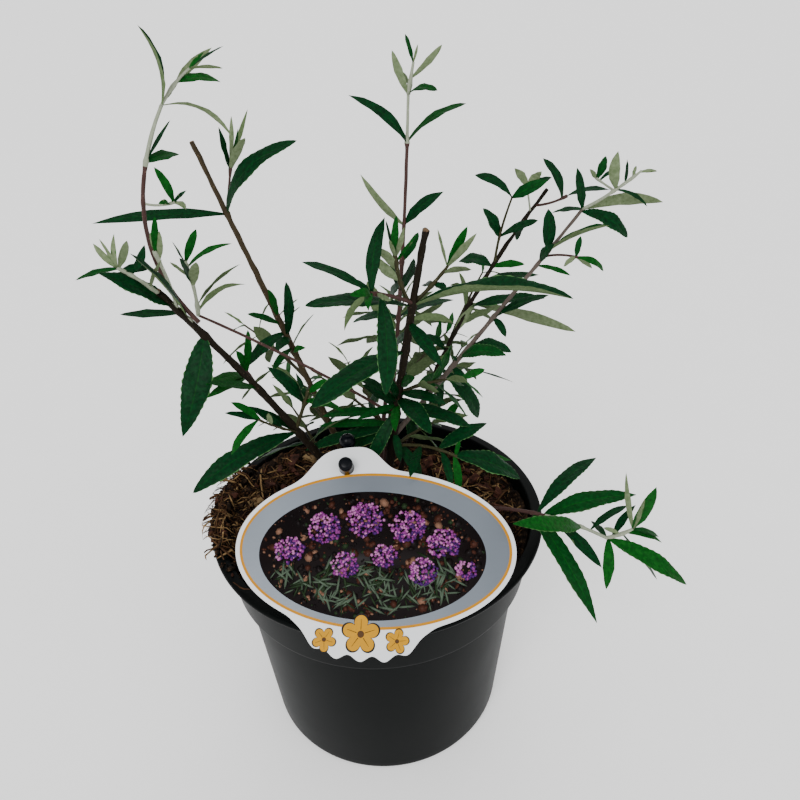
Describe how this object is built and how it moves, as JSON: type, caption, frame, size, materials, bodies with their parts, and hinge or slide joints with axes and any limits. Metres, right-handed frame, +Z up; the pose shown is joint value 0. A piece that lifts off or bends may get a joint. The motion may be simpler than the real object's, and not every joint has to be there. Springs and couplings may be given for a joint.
{
  "type": "potted butterfly bush",
  "caption": "Young butterfly bush with lance-shaped leaves on cut-back woody stems, in a round black nursery pot with an oval label on a peg.",
  "frame": {"origin": "centre of the pot's flat underside", "axes": "+Z up along the pot's axis, -Y towards the front, where the label leans on the rim, +X to the right"},
  "size_m": [0.259, 0.1817, 0.361],
  "materials": {
    "pot_plastic": "matte",
    "compost": "matte",
    "peg": "gloss",
    "label": "satin",
    "old_bark": "matte",
    "young_shoot": "matte",
    "leaf": "satin",
    "pale_leaf": "matte"
  },
  "bodies": {
    "root": {"pot": "pot_plastic", "compost": "compost", "label_peg": "peg", "label_plate": "label", "foot": "old_bark", "left_bough": "old_bark", "back_left_bough": "old_bark", "centre_bough": "old_bark", "leader": "young_shoot", "back_right_bough": "old_bark", "right_bough": "young_shoot", "left_shoot": "young_shoot", "spray_stem": "young_shoot", "back_bough": "young_shoot", "left_top_tuft": "pale_leaf", "left_top_leaf": "leaf", "left_arching_leaf": "pale_leaf", "left_node_tuft": "leaf", "left_shoot_tuft": "leaf", "back_left_long_leaf": "leaf", "back_left_broad_leaf": "leaf", "back_left_tip": "leaf", "left_end_tuft": "leaf", "left_end_tips": "pale_leaf", "left_fork_tips": "pale_leaf", "left_droop_leaf": "leaf", "left_stem_leaves": "leaf", "left_inner_leaves": "leaf", "left_low_tuft": "leaf", "left_low_leaf": "leaf", "back_left_low_tuft": "leaf", "centre_left_leaf": "leaf", "centre_left_tuft": "leaf", "centre_right_tuft": "pale_leaf", "centre_right_leaf": "leaf", "front_leaf": "leaf", "front_low_leaf": "leaf", "leader_low_left_leaf": "pale_leaf", "leader_low_right_leaf": "leaf", "leader_high_left_leaf": "leaf", "leader_high_right_leaf": "leaf", "leader_tip": "pale_leaf", "back_right_thin_tuft": "leaf", "back_right_leaf": "leaf", "back_right_low_tuft": "leaf", "right_tip": "pale_leaf", "right_upper_tuft": "leaf", "right_middle_tuft": "leaf", "right_low_leaf": "leaf", "right_inner_leaves": "leaf", "heart_right": "leaf", "heart_left": "leaf", "pot_right_tuft": "leaf", "spray_up_leaf": "leaf", "spray_middle_leaf": "leaf", "spray_down_leaf": "leaf", "spray_tip": "leaf", "spray_end_tips": "pale_leaf", "back_tuft": "leaf"}
  },
  "joints": []
}
